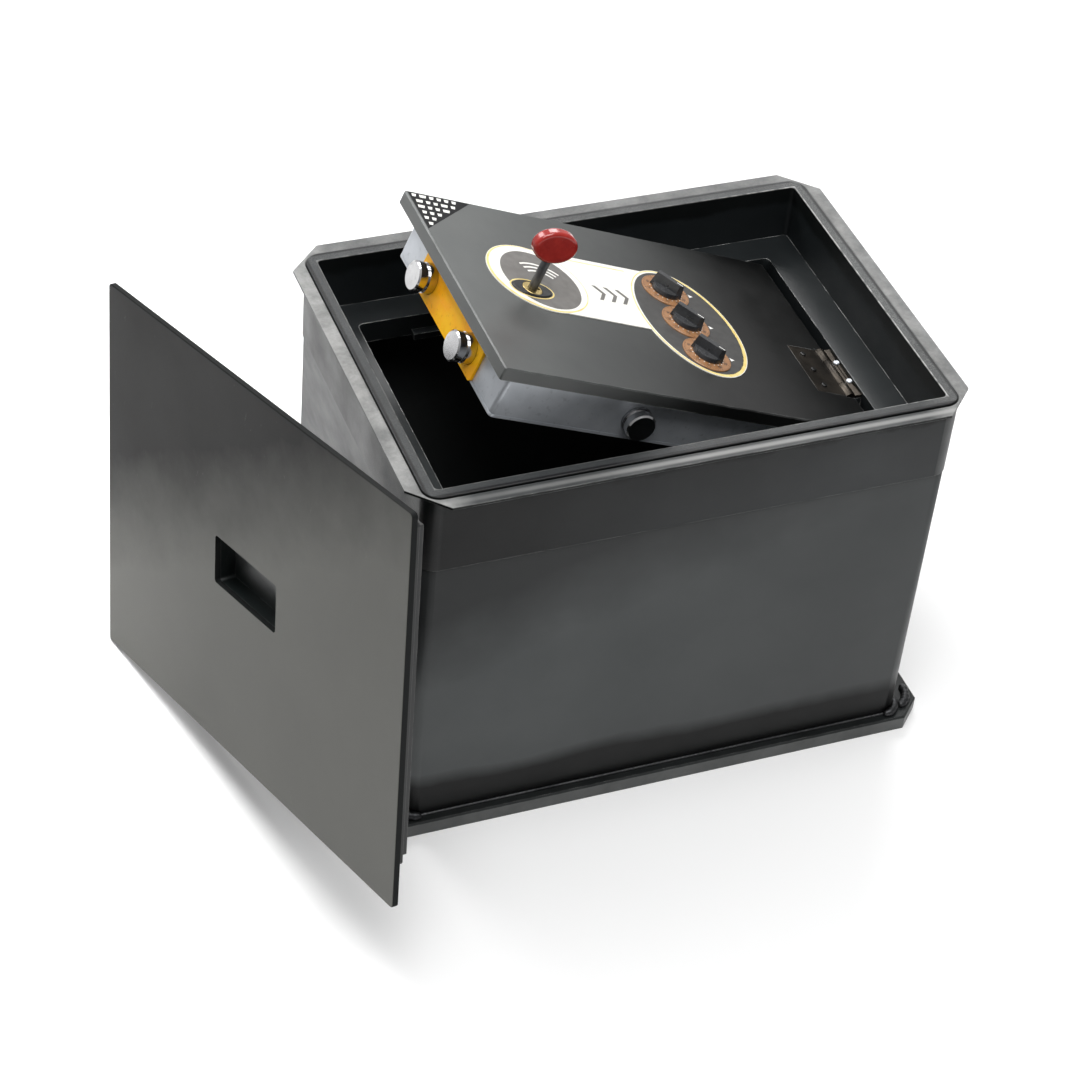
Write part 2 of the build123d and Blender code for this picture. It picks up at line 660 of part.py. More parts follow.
def bolt_profile(length):
    """Half section of a bolt with a chamfered tip and a groove behind it."""
    groove = BOLT_RADIUS - BOLT_GROOVE_DEPTH
    g0 = length - BOLT_GROOVE_PLACE - BOLT_GROOVE_WIDTH
    g1 = length - BOLT_GROOVE_PLACE
    return Polyline(
        (0, 0), (BOLT_RADIUS, 0), (BOLT_RADIUS, g0), (groove, g0), (groove, g1),
        (BOLT_RADIUS, g1), (BOLT_RADIUS, length - BOLT_CHAMFER),
        (BOLT_RADIUS - BOLT_CHAMFER, length), (0, length), close=True,
    )


def bolt_bar(length):
    """A bolt that stands on the origin with its tip up."""
    profile = make_face(Plane.XZ * bolt_profile(length))
    return revolve(profile, Axis.Z)


def end_bolt(y):
    tip = LIP_LEFT + BOLT_CLEAR
    length = END_BOLT_TAIL - tip
    return Pos(END_BOLT_TAIL, y, BOLT_LEVEL) * Rot(0, -90, 0) * bolt_bar(length)


def bolt_carriage():
    """Bar behind the end bolts with an arm that the lower drive pin moves."""
    bar_right = END_BOLT_TAIL + CARRIAGE_BAR
    pin_x = KEY_X + PIN_OFFSET
    arm_low = KEY_Y + FOOT_PIVOT_RADIUS + DRIVE_CLEAR
    arm_high = KEY_Y + DRIVE_RADIUS + DRIVE_PIN + ARM_SIDE
    carriage = slab(
        END_BOLT_TAIL, bar_right, -CARRIAGE_SPAN / 2, CARRIAGE_SPAN / 2,
        LOWER_SLIDE, 2 * BOLT_LEVEL - LOWER_SLIDE,
    )
    arm_right = pin_x + DRIVE_PIN + ARM_END
    carriage += slab(
        bar_right, arm_right, arm_low, arm_high, LOWER_SLIDE, LOWER_SLIDE + SLIDE_THICK
    )
    half = DRIVE_PIN + DRIVE_CLEAR
    slot_low = KEY_Y + PIN_OFFSET - half
    carriage -= slab(
        pin_x - half, pin_x + half, min(slot_low, arm_low),
        KEY_Y + DRIVE_RADIUS + half, LOWER_SLIDE, LOWER_SLIDE + SLIDE_THICK,
    )
    return carriage


def side_slide(side):
    """Plate between the lock and a side bolt, with a forked end round a drive pin."""
    along = -side                       # the near fork is on the left of the lock
    half = DRIVE_PIN + DRIVE_CLEAR
    stem_in = KEY_X - along * (HUB_RADIUS + DRIVE_CLEAR)
    stem_out = KEY_X - along * (DRIVE_RADIUS + half + FORK_SIDE)
    pin_y = KEY_Y - side * PIN_OFFSET
    top = UPPER_SLIDE + SLIDE_THICK
    tail = side * SIDE_BOLT_TAIL
    arm_inner = side * (SIDE_BOLT_TAIL - SLIDE_ARM)
    fork_end = pin_y - side * (half + FORK_END)
    x0, x1 = sorted((stem_in, stem_out))
    plate = slab(x0, x1, *sorted((fork_end, tail)), UPPER_SLIDE, top)
    arm_right = SIDE_BOLT_X + BOLT_RADIUS
    plate += slab(x0, arm_right, *sorted((arm_inner, tail)), UPPER_SLIDE, top)
    slot_x = sorted((stem_in, KEY_X - along * (DRIVE_RADIUS + half)))
    plate -= slab(*slot_x, pin_y - half, pin_y + half, UPPER_SLIDE, top)
    tab = side * (SIDE_BOLT_TAIL - TAB_THICK)
    plate += slab(
        SIDE_BOLT_X - BOLT_RADIUS, arm_right, *sorted((tab, tail)),
        BOLT_LEVEL - BOLT_RADIUS / 2, top,
    )
    return plate


def side_bolt(side):
    tip = OPENING_WIDTH / 2 - SIDE_BOLT_CLEAR
    length = tip - SIDE_BOLT_TAIL
    start = Pos(SIDE_BOLT_X, side * SIDE_BOLT_TAIL, BOLT_LEVEL)
    return start * Rot(-90 * side, 0, 0) * bolt_bar(length)


def dial_ring(place):
    """Number ring on the door round one knob."""
    z0 = DOOR_TOP + LABEL_THICK
    ring = post(*place, RING_RADIUS, z0, z0 + RING_THICK)
    ring = chamfer(ring.edges().group_by(Axis.Z)[-1], RING_CHAMFER)
    return ring - post(*place, SPINDLE_RADIUS + LABEL_CLEAR, z0, z0 + RING_THICK)


def combination_knob(place):
    """Round base with a tapered pointer grip across it."""
    z0 = DOOR_TOP + LABEL_THICK + RING_THICK + DISH_GAP
    base = Pos(*place, z0) * extrude(Circle(KNOB_RADIUS), KNOB_BASE, taper=KNOB_TAPER)
    half = GRIP_LENGTH / 2
    outline = Polygon(
        (-half, -GRIP_WIDTH / 2), (half - GRIP_WIDTH / 2, -GRIP_WIDTH / 2), (half, 0),
        (half - GRIP_WIDTH / 2, GRIP_WIDTH / 2), (-half, GRIP_WIDTH / 2), align=None,
    )
    grip = extrude(Rot(0, 0, GRIP_TURN) * outline, GRIP_HEIGHT, taper=GRIP_TAPER)
    knob = base + Pos(*place, z0) * grip
    return knob - post(*place, SPINDLE_RADIUS, z0, z0 + SPINDLE_SOCKET)


def knob_spindle(place):
    """Shaft from the knob through the door to its wheel."""
    z0 = DOOR_TOP + LABEL_THICK + RING_THICK + DISH_GAP
    low = DOOR_BOTTOM - WHEEL_DROP - WHEEL_THICK
    return post(*place, SPINDLE_RADIUS, low, z0 + SPINDLE_SOCKET)


def spindle_bush(place):
    bush = post(*place, BUSH_RADIUS, DOOR_BOTTOM - BUSH_LENGTH, DOOR_BOTTOM)
    return bush - post(
        *place, SPINDLE_RADIUS + SPINDLE_FIT, DOOR_BOTTOM - BUSH_LENGTH, DOOR_BOTTOM
    )


def combination_wheel(place):
    """Wheel with one gate in its edge and a hub round the spindle."""
    x, y = place
    top = DOOR_BOTTOM - WHEEL_DROP
    wheel = post(x, y, WHEEL_RADIUS, top - WHEEL_THICK, top)
    wheel += post(x, y, BUSH_RADIUS, top, top + WHEEL_HUB)
    wheel -= slab(
        x - WHEEL_RADIUS, x - WHEEL_RADIUS + WHEEL_GATE,
        y - WHEEL_GATE / 2, y + WHEEL_GATE / 2, top - WHEEL_THICK, top,
    )
    return wheel - post(x, y, SPINDLE_RADIUS, top - WHEEL_THICK, top + WHEEL_HUB)


def cover_plate():
    plate = rounded_block(COVER_LENGTH, COVER_WIDTH, COVER_CORNER, -COVER_THICK, 0)
    plate = fillet(plate.edges().group_by(Axis.Z)[-1], COVER_EDGE)
    return plate - rounded_block(CUP_LENGTH, CUP_WIDTH, CUP_CORNER, -COVER_THICK, 0)


def cover_strip():
    """Flat strip set on edge on the cover's back, close to the neck's walls."""
    low = -COVER_THICK - STRIP_DEPTH
    outer = rounded_block(STRIP_LENGTH, STRIP_WIDTH, RIM_CORNER - RIM_WALL, low, -COVER_THICK)
    inner = rounded_block(
        STRIP_LENGTH - 2 * STRIP_THICK, STRIP_WIDTH - 2 * STRIP_THICK, FRAME_CORNER,
        low, -COVER_THICK,
    )
    return outer - inner


def cover_frame():
    """Angle frame inside the strip, deeper than it."""
    length = STRIP_LENGTH - 2 * STRIP_THICK
    width = STRIP_WIDTH - 2 * STRIP_THICK
    low = -COVER_THICK - FRAME_DEPTH
    outer = rounded_block(length, width, FRAME_CORNER, low, -COVER_THICK)
    step = FRAME_WALL
    inner = rounded_block(
        length - 2 * step, width - 2 * step, FRAME_CORNER, low, -COVER_THICK - step
    )
    window = rounded_block(
        length - 2 * FRAME_FOOT, width - 2 * FRAME_FOOT, FRAME_CORNER, low, -COVER_THICK
    )
    return outer - inner - window


def finger_cup():
    """Pressed cup behind the finger recess."""
    bottom = -COVER_THICK - CUP_DEPTH
    outer = rounded_block(
        CUP_LENGTH + 2 * CUP_SHEET, CUP_WIDTH + 2 * CUP_SHEET, CUP_CORNER + CUP_SHEET,
        bottom, -COVER_THICK,
    )
    inner = rounded_block(CUP_LENGTH, CUP_WIDTH, CUP_CORNER, bottom + CUP_SHEET, -COVER_THICK)
    return outer - inner


def stood_cover(shape):
    """A cover piece, turned from lying flat to standing on one corner."""
    corner = Pos(COVER_LENGTH / 2, COVER_WIDTH / 2, 0) * shape
    upright = Rot(90, 0, 0) * corner
    tilted = Rot(0, -COVER_TILT, 0) * upright
    leaned = Rot(-COVER_LEAN, 0, 0) * tilted
    turned = Rot(0, 0, COVER_TURN) * leaned
    return Pos(COVER_PLACE[0], COVER_PLACE[1], 0) * turned


def cover_drop():
    """Height of the standing cover's lowest point before it is set down."""
    return stood_cover(cover_plate()).bounding_box().min.Z


def build():
    pieces = {
        "base_plate": base_plate(),
        "body_walls": body_walls(),
        "collar_flange": collar(),
        "neck_frame": neck_frame(),
        "door_seat": door_seat(),
        "door_stops": door_stops(),
        "hinge_bracket": hinge_bracket(),
        "hinge_fixed_leaf": hinge_fixed_leaf(),
        "hinge_pin": hinge_pin(),
        "hinge_fixed_screws": hinge_fixed_screws(),
    }
    door_pieces = {
        "door_plate": door_plate(),
        "hinge_moving_leaf": hinge_moving_leaf(),
        "hinge_door_screws": hinge_door_screws(),
        "face_label": face_label(),
        "keyhole_escutcheon": keyhole_escutcheon(),
        "lock_barrel": lock_barrel(),
        "lock_case": lock_case(),
        "guide_plate": guide_plate(),
        "back_cover": back_cover(),
        "back_cover_posts": back_cover_posts(),
        "back_cover_screws": back_cover_screws(),
        "key_plug": key_plug(),
        "key_shank": key_shank(),
        "key_head": key_head(),
        "end_bolt_near": end_bolt(-BOLT_SPACING / 2),
        "end_bolt_far": end_bolt(BOLT_SPACING / 2),
        "bolt_carriage": bolt_carriage(),
        "near_slide": side_slide(-1),
        "near_bolt": side_bolt(-1),
        "far_slide": side_slide(1),
        "far_bolt": side_bolt(1),
    }
    for number, place in enumerate(DIAL_PLACES, start=1):
        door_pieces[f"dial_ring_{number}"] = dial_ring(place)
        door_pieces[f"combination_knob_{number}"] = combination_knob(place)
        door_pieces[f"knob_spindle_{number}"] = knob_spindle(place)
        door_pieces[f"spindle_bush_{number}"] = spindle_bush(place)
        door_pieces[f"combination_wheel_{number}"] = combination_wheel(place)
    for name, shape in door_pieces.items():
        pieces[name] = swung(shape)
    set_down = Pos(0, 0, -cover_drop())
    for name, shape in (
        ("cover_plate", cover_plate()),
        ("cover_strip", cover_strip()),
        ("cover_frame", cover_frame()),
        ("finger_cup", finger_cup()),
    ):
        pieces[name] = set_down * stood_cover(shape)
    return pieces


os.makedirs("parts", exist_ok=True)
for node, solid in build().items():
    export_step(solid, f"parts/{node}.step")
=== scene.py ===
import json
import math
import random
from collections import namedtuple

import bmesh
import bpy
from mathutils import Euler, Matrix, Vector


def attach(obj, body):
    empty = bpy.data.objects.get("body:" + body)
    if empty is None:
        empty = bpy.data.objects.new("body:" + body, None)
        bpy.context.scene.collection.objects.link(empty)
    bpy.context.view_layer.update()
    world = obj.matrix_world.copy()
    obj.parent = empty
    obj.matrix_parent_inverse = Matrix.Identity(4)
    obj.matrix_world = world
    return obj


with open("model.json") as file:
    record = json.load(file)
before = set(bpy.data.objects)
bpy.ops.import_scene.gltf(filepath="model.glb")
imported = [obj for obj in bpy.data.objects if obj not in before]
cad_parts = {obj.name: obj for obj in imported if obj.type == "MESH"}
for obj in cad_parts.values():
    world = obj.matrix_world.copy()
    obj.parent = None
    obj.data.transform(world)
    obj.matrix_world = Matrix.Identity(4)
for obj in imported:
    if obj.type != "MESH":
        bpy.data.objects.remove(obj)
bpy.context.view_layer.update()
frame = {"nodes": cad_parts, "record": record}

MM = 0.001

# Places on the closed door, in mm but for the hinge
HINGE = Vector((139.5, 0.0, 244.75)) * MM
DOOR_TURN = math.radians(22.0)
DOOR_TOP = 246.0
FILM_THICK, RING_THICK, KNOB_GAP, KNOB_HIGH = 0.6, 1.0, 0.2, 9.0
FILM_TOP = DOOR_TOP + FILM_THICK
RING_TOP = FILM_TOP + RING_THICK
KNOB_TOP = RING_TOP + KNOB_GAP + KNOB_HIGH
KEY = (-86.0, 1.0)
DIALS = ((30.0, -40.0), (30.0, -5.0), (30.0, 30.0))

# Swings a piece made on the closed door to where the door stands
ON_DOOR = (Matrix.Translation(HINGE) @ Matrix.Rotation(DOOR_TURN, 4, "Y")
           @ Matrix.Translation(-HINGE))

# Materials, with their lengths in metres
NEAR_BLACK = (0.001, 0.001, 0.001)
NOISE_SPAN = (0.3, 0.7)
CLOUD_SPAN = (0.35, 0.65)

# Cosines between the rounded and the flat normal where an edge begins and where it is sharp
EDGE_SPAN = (0.98, 0.80)

# Half the length and width of the rim's face inside its dark margin of painted shade
RIM_MARGIN = (0.1774, 0.1244)

# The middle of the painted highlight along the near flange
HIGHLIGHT_Y = -0.1322

# The heights between which a flank turns dark, along a ragged line: painted shade just under the
# flange
FLANK_SHADE = (0.2735, 0.2775)

# Up the picture along the cover, and out of the cover's front
COVER_UP = (0.0, 0.967, 1.207)
COVER_FACING = (-0.970, -0.205, 0.125)

# Painted shade: darkens a colour along a direction; low and high are the shares of it that stay
Fade = namedtuple("Fade", "direction start end low high")


def tint(colour, factor):
    return tuple(c * factor for c in colour)


class Graph:
    """A small helper round a material's node tree."""

    def __init__(self, name):
        self.material = bpy.data.materials.new(name)
        self.material.use_nodes = True
        self.tree = self.material.node_tree
        self.shader = self.tree.nodes["Principled BSDF"]
        self.coords = self.add("ShaderNodeTexCoord").outputs["Object"]

    def add(self, kind, **settings):
        node = self.tree.nodes.new(kind)
        for key, value in settings.items():
            setattr(node, key, value)
        return node

    def link(self, source, target):
        self.tree.links.new(source, target)

    def noise(self, scale, detail, rough=0.55, stretch=None):
        node = self.add("ShaderNodeTexNoise")
        node.inputs["Scale"].default_value = scale
        node.inputs["Detail"].default_value = detail
        node.inputs["Roughness"].default_value = rough
        source = self.coords
        if stretch:
            mapping = self.add("ShaderNodeMapping")
            mapping.inputs["Scale"].default_value = stretch
            self.link(source, mapping.inputs["Vector"])
            source = mapping.outputs["Vector"]
        self.link(source, node.inputs["Vector"])
        return node.outputs["Fac"]

    def ramp(self, value, low, high, out_low=0.0, out_high=1.0):
        node = self.add("ShaderNodeMapRange")
        node.inputs["From Min"].default_value = low
        node.inputs["From Max"].default_value = high
        node.inputs["To Min"].default_value = out_low
        node.inputs["To Max"].default_value = out_high
        self.link(value, node.inputs["Value"])
        return node.outputs["Result"]

    def spread(self, scale, detail, low, high, out_low=0.0, out_high=1.0,
               rough=0.55, stretch=None):
        """Noise, with what lies between low and high spread over another range."""
        noise = self.noise(scale, detail, rough, stretch)
        return self.ramp(noise, low, high, out_low, out_high)

    def clouds(self, scale, detail=5.0, rough=0.55):
        """Soft patches from 0 to 1."""
        return self.spread(scale, detail, *CLOUD_SPAN, rough=rough)

    def wobble(self, reach, scale, detail, rough=0.55):
        """Noise from minus to plus a length."""
        return self.spread(scale, detail, *NOISE_SPAN, -reach, reach, rough)

    def mix(self, factor, one, two):
        node = self.add("ShaderNodeMix", data_type="RGBA")
        self.link(factor, node.inputs["Factor"])
        for value, slot in ((one, "A"), (two, "B")):
            socket = [s for s in node.inputs if s.name == slot and s.type == "RGBA"][0]
            if isinstance(value, tuple):
                socket.default_value = (*value, 1.0)
            else:
                self.link(value, socket)
        return [s for s in node.outputs if s.type == "RGBA"][0]

    def math(self, operation, one, two=None):
        node = self.add("ShaderNodeMath", operation=operation)
        for socket, value in zip(node.inputs, (one, two)):
            if value is None:
                continue
            if isinstance(value, float):
                socket.default_value = value
            else:
                self.link(value, socket)
        return node.outputs[0]

    def plus(self, one, two):
        return self.math("ADD", one, two)

    def times(self, one, two):
        return self.math("MULTIPLY", one, two)

    def edges(self, radius):
        """1 on sharp edges, 0 on flats."""
        bevel = self.add("ShaderNodeBevel", samples=4)
        bevel.inputs["Radius"].default_value = radius
        flat = self.add("ShaderNodeNewGeometry")
        dot = self.add("ShaderNodeVectorMath", operation="DOT_PRODUCT")
        self.link(bevel.outputs["Normal"], dot.inputs[0])
        self.link(flat.outputs["Normal"], dot.inputs[1])
        return self.ramp(dot.outputs["Value"], *EDGE_SPAN)

    def axis(self, output, letter):
        """One component of the object-space place or normal."""
        split = self.add("ShaderNodeSeparateXYZ")
        source = self.add("ShaderNodeTexCoord").outputs[output]
        self.link(source, split.inputs[0])
        return split.outputs[letter]

    def along(self, output, direction):
        """How far the object-space place or normal reaches along a direction."""
        dot = self.add("ShaderNodeVectorMath", operation="DOT_PRODUCT")
        self.link(self.add("ShaderNodeTexCoord").outputs[output], dot.inputs[0])
        dot.inputs[1].default_value = direction
        return dot.outputs["Value"]

    def bump(self, height, strength, distance):
        node = self.add("ShaderNodeBump")
        node.inputs["Strength"].default_value = strength
        node.inputs["Distance"].default_value = distance
        self.link(height, node.inputs["Height"])
        self.link(node.outputs["Normal"], self.shader.inputs["Normal"])

    def set(self, **values):
        """Sets or links the shader's sockets; an underscore stands for a space."""
        for key, value in values.items():
            socket = self.shader.inputs[key.replace("_", " ")]
            if hasattr(value, "links"):
                self.link(value, socket)
            else:
                socket.default_value = value


def paint(name, dark, light, rough, grain=1500.0, grain_size=0.00006, wear=0.5,
          worn_and_lit=(0.3, 0.3, 0.29), gloss=0.5, band=None, painted_shades=()):
    """Sprayed paint with an orange-peel skin, cloudy tone, specks and pale edges, partly worn
    and partly painted highlight.

    The fades paint shade along their directions, and a band paints shade below a height.
    """
    g = Graph(name)
    colour = g.mix(g.clouds(9.0), dark, light)
    specks = g.spread(900.0, 2.0, 0.62, 0.72)
    colour = g.mix(g.times(specks, 0.25), colour, light)
    # Painted shade along each direction
    for fade in painted_shades:
        place = g.plus(g.along("Object", fade.direction), g.wobble(0.006, 18.0, 4.0))
        stays = g.ramp(place, fade.start, fade.end, fade.low, fade.high)
        colour = g.mix(stays, NEAR_BLACK, colour)
    # Painted shade: near black below a height, along a ragged line
    if band:
        height = g.plus(g.axis("Object", "Z"), g.wobble(0.003, 14.0, 3.0))
        colour = g.mix(g.ramp(height, *band), colour, tint(dark, 0.06))
    patches = g.spread(60.0, 6.0, 0.40, 0.62, rough=0.7)
    edge = g.times(g.times(g.edges(0.0009), patches), wear)
    smears = g.noise(25.0, 6.0, 0.6, (1.0, 1.0, 2.5))
    g.set(Base_Color=g.mix(edge, colour, worn_and_lit), Metallic=0.0, Specular_IOR_Level=gloss,
          Roughness=g.ramp(smears, *NOISE_SPAN, rough - 0.06, rough + 0.07))
    skin = g.noise(grain, 3.0)
    waves = g.noise(120.0, 2.0)
    g.bump(g.plus(skin, g.times(waves, 1.5)), strength=0.35, distance=grain_size)
    return g.material


def rim_margins(g, face, x, y):
    """A dark outer margin of painted shade on the rim's face and a pale inner one, partly bare
    paint and partly painted highlight, paler to the right.
    """
    across = g.math("SUBTRACT", g.math("ABSOLUTE", x), RIM_MARGIN[0])
    along = g.math("SUBTRACT", g.math("ABSOLUTE", y), RIM_MARGIN[1])
    outside = g.math("MAXIMUM", across, along)
    # Painted shade in the groove along the rim's outer edge
    face = g.mix(g.ramp(outside, -0.0004, 0.0006), face, (0.006, 0.006, 0.007))
    # Partly bare paint and partly a painted highlight along the inner edge, paler to the right
    bare_and_highlight = g.spread(160.0, 5.0, 0.40, 0.58, 0.15, 1.0)
    inside = g.times(g.ramp(outside, -0.0043, -0.0049), bare_and_highlight)
    inside = g.times(inside, g.ramp(x, 0.10, 0.165, 0.20, 0.65))
    return g.mix(inside, face, (0.62, 0.62, 0.60))


def rubbed_paint(name, side, top, rubbed_and_lit, base, far, right, left, rough, grain_size, streaky,
                 gloss, grit=420.0, dim=1.0, margins=False, flange_highlight=False):
    """Paint with dark flanks and an upper face that is rubbed bare in streaks.

    The shares of the face made pale are base for the whole face, and far, right and left for its
    edges there, partly rubbed bare and partly painted highlight. dim is the share of the flanks'
    colour that stays at the left, a painted shade. The flanks go near black just under the
    flange, a painted shade, and the streak along the near flange is a painted highlight.
    """
    g = Graph(name)
    clouds = g.clouds(9.0)
    x = g.axis("Object", "X")
    y = g.axis("Object", "Y")

    flank = g.mix(clouds, side, tint(side, 1.5))
    # Painted shade: the flank keeps only dim of its colour at the left
    flank = g.mix(g.ramp(x, -0.14, 0.14, dim, 1.0), NEAR_BLACK, flank)
    # Painted shade: the flank goes near black just under the flange, along a ragged line
    ragged = g.plus(g.axis("Object", "Z"), g.wobble(0.0022, 45.0, 4.0))
    flank = g.mix(g.ramp(ragged, *FLANK_SHADE), flank, (0.004, 0.005, 0.005))

    streaks = g.spread(grit, 8.0, 0.44, 0.58, rough=0.75)
    patches = g.spread(38.0, 6.0, 0.36, 0.60, 0.45, 1.0, 0.65)
    # Pale far, right and left ends: partly rubbing and partly painted highlight where light
    # falls on them
    far_end = g.ramp(y, 0.100, 0.120, 0.0, far)
    right_end = g.ramp(x, 0.150, 0.170, 0.0, right)
    left_end = g.ramp(x, -0.150, -0.170, 0.0, left)
    ends = g.math("MAXIMUM", g.math("MAXIMUM", far_end, right_end), left_end)
    broken = g.times(patches, g.plus(g.times(streaks, streaky), 1.0 - streaky))
    amount = g.times(g.math("MAXIMUM", ends, base), broken)
    face = g.mix(amount, g.mix(clouds, top, tint(top, 1.6)), rubbed_and_lit)
    if margins:
        face = rim_margins(g, face, x, y)
    # Painted highlight: a pale line along the near flange, stronger from the left end to the
    # middle
    if flange_highlight:
        beside = g.math("ABSOLUTE", g.plus(y, -HIGHLIGHT_Y))
        share = g.times(g.ramp(beside, 0.0026, 0.0008), g.ramp(x, -0.15, 0.0, 0.16, 0.46))
        face = g.mix(share, face, rubbed_and_lit)

    colour = g.mix(g.ramp(g.axis("Normal", "Z"), 0.4, 0.8), flank, face)
    worn_and_lit = g.times(g.edges(0.0009), g.spread(60.0, 6.0, 0.38, 0.60, rough=0.7))
    colour = g.mix(g.times(worn_and_lit, 0.8), colour, rubbed_and_lit)
    g.set(Base_Color=colour, Specular_IOR_Level=gloss,
          Roughness=g.spread(25.0, 6.0, *NOISE_SPAN, rough - 0.06, rough + 0.10, 0.6))
    g.bump(g.plus(g.noise(1100.0, 3.0), g.times(streaks, 0.8)), strength=0.4,
           distance=grain_size)
    return g.material


def cover_paint(name, dark, light, edge):
    """Matt paint on the cover's front, with painted shade that darkens it towards the top and
    the near end, and nearly black on its edges.
    """
    g = Graph(name)
    colour = g.mix(g.clouds(7.0), dark, light)
    # Painted shade: darker towards the top of the cover and towards its near end
    height = g.plus(g.along("Object", COVER_UP), g.wobble(0.012, 26.0, 5.0, 0.6))
    upper = g.ramp(height, 0.300, 0.175, 0.05, 1.0)
    lower = g.ramp(height, 0.10, -0.09, 0.90, 1.0)
    near = g.ramp(g.axis("Object", "Y"), -0.02, 0.13, 0.76, 1.0)
    colour = g.mix(g.times(g.times(upper, lower), near), NEAR_BLACK, colour)
    front = g.ramp(g.along("Normal", COVER_FACING), 0.55, 0.9)
    scuffs = g.spread(300.0, 6.0, 0.66, 0.74, 0.0, 0.35, 0.7, (1.0, 1.0, 0.3))
    colour = g.mix(scuffs, g.mix(front, edge, colour), light)
    g.set(Base_Color=colour, Specular_IOR_Level=0.06,
          Roughness=g.spread(14.0, 5.0, *NOISE_SPAN, 0.33, 0.44, 0.6))
    g.bump(g.plus(g.noise(1400.0, 3.0), g.noise(30.0, 2.0)), strength=0.3,
           distance=0.00005)
    return g.material


def foot_paint(name, face, flank):
    """Paint that is cloudy on the plate's edge and near black on its upper face, a painted
    shade.
    """
    g = Graph(name)
    clouds = g.clouds(30.0, 6.0, 0.65)
    # Painted shade: the upper face is near black
    up = g.ramp(g.axis("Normal", "Z"), 0.35, 0.75)
    edge = g.mix(clouds, flank, tint(flank, 1.5))
    colour = g.mix(up, edge, g.mix(clouds, face, tint(face, 2.2)))
    chips = g.times(g.edges(0.0008), g.spread(90.0, 6.0, 0.45, 0.62, 0.0, 0.7, 0.7))
    g.set(Base_Color=g.mix(chips, colour, (0.34, 0.34, 0.33)), Specular_IOR_Level=0.30,
          Roughness=g.spread(40.0, 5.0, *NOISE_SPAN, 0.36, 0.52))
    g.bump(g.noise(900.0, 4.0), strength=0.4, distance=0.00009)
    return g.material


def metal(name, dark, light, rough, stretch=(1.0, 1.0, 1.0), scale=300.0, scratch=0.5,
          bump=0.00003, shine=1.0, gloss=0.5):
    """Bare or plated metal with brushing, spots and small scratches."""
    g = Graph(name)
    brushing = g.noise(scale, 6.0, 0.65, stretch)
    colour = g.mix(g.clouds(35.0), dark, light)
    spots = g.spread(260.0, 3.0, 0.60, 0.72)
    colour = g.mix(g.times(spots, 0.35), colour, tint(dark, 0.55))
    smooth, scratched = rough - 0.08 * scratch, rough + 0.16 * scratch
    g.set(Base_Color=colour, Metallic=shine, Specular_IOR_Level=gloss,
          Roughness=g.ramp(brushing, *NOISE_SPAN, smooth, scratched))
    g.bump(brushing, strength=0.3 * scratch, distance=bump)
    return g.material


def plastic(name, dark, light, rough, grain=1200.0, depth=0.00002, coat=0.0, gloss=0.5):
    """Moulded plastic or printed film with faint mottling and fine scuffs."""
    g = Graph(name)
    colour = g.mix(g.clouds(160.0, 4.0), dark, light)
    scuffs = g.spread(700.0, 5.0, 0.60, 0.70, rough=0.7, stretch=(1.0, 0.15, 1.0))
    pale = tuple(min(1.0, c * 1.6 + 0.05) for c in light)
    colour = g.mix(g.times(g.edges(0.0004), 0.25), colour, pale)
    g.set(Base_Color=colour, Coat_Weight=coat, Specular_IOR_Level=gloss,
          Roughness=g.ramp(scuffs, 0.0, 1.0, rough, rough + 0.12))
    g.bump(g.noise(grain, 3.0), strength=0.25, distance=depth)
    return g.material


# Paints
# The body's paint: its fades are painted shade, darker towards the top and towards the right,
# and its band is painted shade, near black just above the foot
BODY = paint(
    "body_paint_look", (0.065, 0.070, 0.071), (0.081, 0.086, 0.087), rough=0.36,
    wear=0.35, gloss=0.20, band=(0.047, 0.035), painted_shades=(
        Fade(direction=(0.3, 0.0, -1.0), start=-0.235, end=-0.175, low=0.35, high=1.0),
        Fade(direction=(1.0, 0.0, 0.0), start=0.13, end=-0.08, low=0.72, high=1.0)))
# The door's paint: its fade is painted shade and reflection, full tone at the left end, near
# black towards the hinge at the right and darker on the near side
DOOR = paint(
    "door_paint_look", (0.072, 0.078, 0.077), (0.090, 0.095, 0.092), rough=0.36,
    grain=1800.0, grain_size=0.00003, wear=0.8, worn_and_lit=(0.42, 0.43, 0.43), painted_shades=(
        Fade(direction=(-1.0, 0.45, 0.0), start=-0.070, end=0.118, low=0.04, high=1.0),))
# Paint for the parts inside the neck: near black, a painted shade, with pale worn edges that are
# partly wear and partly a painted highlight along the seat's lip
NECK = paint(
    "seat_paint_look", (0.010, 0.012, 0.013), (0.018, 0.021, 0.022), rough=0.36,
    grain=1300.0, grain_size=0.00008, wear=1.0, worn_and_lit=(0.80, 0.80, 0.78))
COVER_BACK = paint(
    "cover_back_look", (0.013, 0.014, 0.014), (0.022, 0.023, 0.023), rough=0.40)
CUP = paint(
    "cup_paint_look", (0.004, 0.006, 0.006), (0.008, 0.011, 0.011), rough=0.36, wear=0.3)
COVER = cover_paint(
    "cover_paint_look", (0.150, 0.150, 0.139), (0.176, 0.176, 0.163), (0.012, 0.013, 0.013))
# The foot's paint: its upper face is near black, a painted shade
FOOT = foot_paint("foot_paint_look", (0.005, 0.006, 0.006), (0.066, 0.069, 0.068))
# The rim's paint: its pale far, right and left edges are partly rubbing and partly painted
# highlight; its margins are painted shade outside, and partly wear and partly painted highlight
# inside
RIM = rubbed_paint(
    "rim_paint_look", side=(0.009, 0.011, 0.012), top=(0.022, 0.024, 0.025),
    rubbed_and_lit=(0.30, 0.30, 0.29), base=0.04, far=0.14, right=0.32, left=0.10, rough=0.36,
    grain_size=0.00012, streaky=0.95, gloss=0.34, grit=900.0, margins=True)
